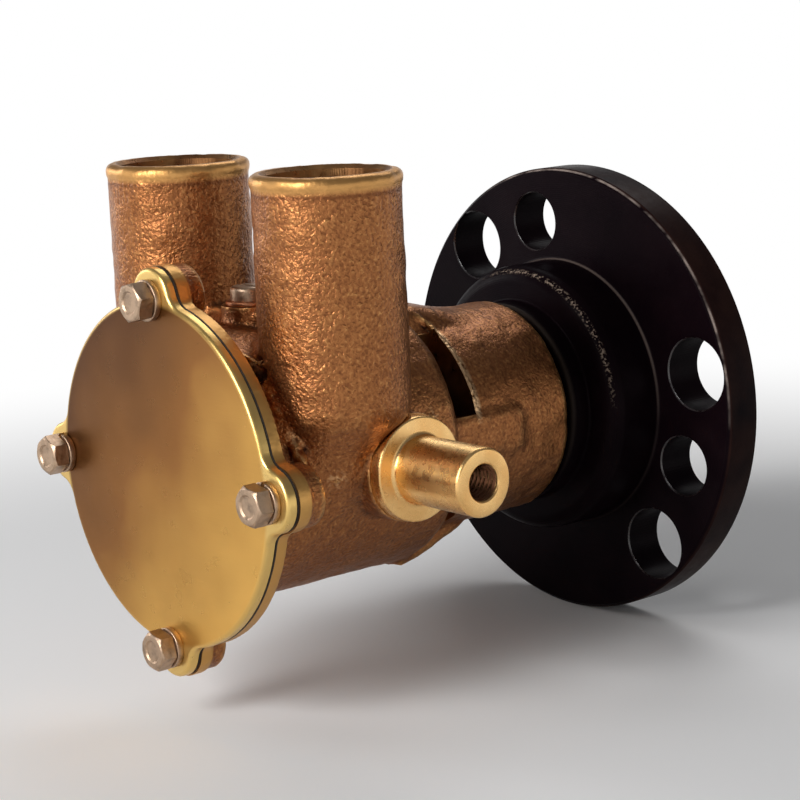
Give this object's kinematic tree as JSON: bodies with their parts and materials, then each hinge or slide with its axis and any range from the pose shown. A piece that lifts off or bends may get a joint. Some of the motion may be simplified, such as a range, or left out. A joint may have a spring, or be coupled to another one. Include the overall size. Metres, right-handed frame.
{
  "type": "flexible impeller pump",
  "caption": "Flange-driven flexible impeller pump: bronze body with a flat round end cover, two upright hose ports, a torque stud and a drilled drive flange.",
  "frame": {"origin": "centre of the drive flange's rear face, on the shaft's axis", "axes": "+Y along the shaft, out of the drive flange towards the engine; the end cover faces -Y; +Z is the way the hose ports point; +X is the torque stud's side"},
  "size_m": [0.1173, 0.1389, 0.122],
  "materials": {
    "bronze_casting": "rough sand-cast bronze",
    "cover_brass": "satin rolled brass",
    "gasket_fibre": "dark pressed fibre",
    "stainless": "forged stainless, dull",
    "machined_brass": "turned, bright",
    "copper": "dull copper",
    "cam_bronze": "machined bronze",
    "black_rubber": "matt moulded rubber",
    "ceramic": "lapped ceramic",
    "carbon": "lapped carbon",
    "shaft_steel": "ground stainless",
    "bearing_steel": "ground",
    "ball_steel": "polished",
    "spring_steel": "phosphated",
    "black_flange": "satin black",
    "zinc_steel": "zinc plated"
  },
  "bodies": {
    "pump": {"pump_body": "bronze_casting", "end_cover": "cover_brass", "cover_gasket": "gasket_fibre", "cover_screws": "stainless", "cover_lock_washers": "stainless", "cam": "cam_bronze", "cam_screw": "stainless", "cam_screw_washer": "copper", "wear_plate": "shaft_steel", "torque_stud": "machined_brass", "seal_seat_cup": "black_rubber", "seal_seat": "ceramic", "lip_seal": "black_rubber", "housing_circlip": "spring_steel", "outer_spacer_ring": "bearing_steel", "front_bearing_outer_race": "bearing_steel", "rear_bearing_outer_race": "bearing_steel"},
    "rotor": {"shaft": "shaft_steel", "impeller": "black_rubber", "impeller_insert": "cam_bronze", "seal_face": "carbon", "seal_bellows": "black_rubber", "seal_spring": "shaft_steel", "seal_retainer": "shaft_steel", "slinger": "black_rubber", "front_bearing_inner_race": "bearing_steel", "rear_bearing_inner_race": "bearing_steel", "inner_spacer_ring": "bearing_steel", "shaft_circlip": "spring_steel", "drive_key": "zinc_steel", "drive_flange": "black_flange", "flange_washer": "zinc_steel", "flange_bolt": "zinc_steel"},
    "front_ball_set": {"front_bearing_balls": "ball_steel", "front_bearing_cage": "cam_bronze"},
    "rear_ball_set": {"rear_bearing_balls": "ball_steel", "rear_bearing_cage": "cam_bronze"}
  },
  "joints": [
    {"name": "rotor_spin", "type": "hinge", "parent": "pump", "child": "rotor", "pos_m": [0, 0, 0], "axis": [0, 1, 0], "continuous": true, "deforming": ["impeller"]},
    {"name": "front_balls_spin", "type": "hinge", "parent": "pump", "child": "front_ball_set", "pos_m": [0, -0.0535, 0], "axis": [0, 1, 0], "continuous": true},
    {"name": "rear_balls_spin", "type": "hinge", "parent": "pump", "child": "rear_ball_set", "pos_m": [0, -0.0415, 0], "axis": [0, 1, 0], "continuous": true}
  ],
  "couplings": [
    {"joint": "front_balls_spin", "follows": "rotor_spin", "ratio": 0.4085},
    {"joint": "rear_balls_spin", "follows": "rotor_spin", "ratio": 0.4085}
  ]
}
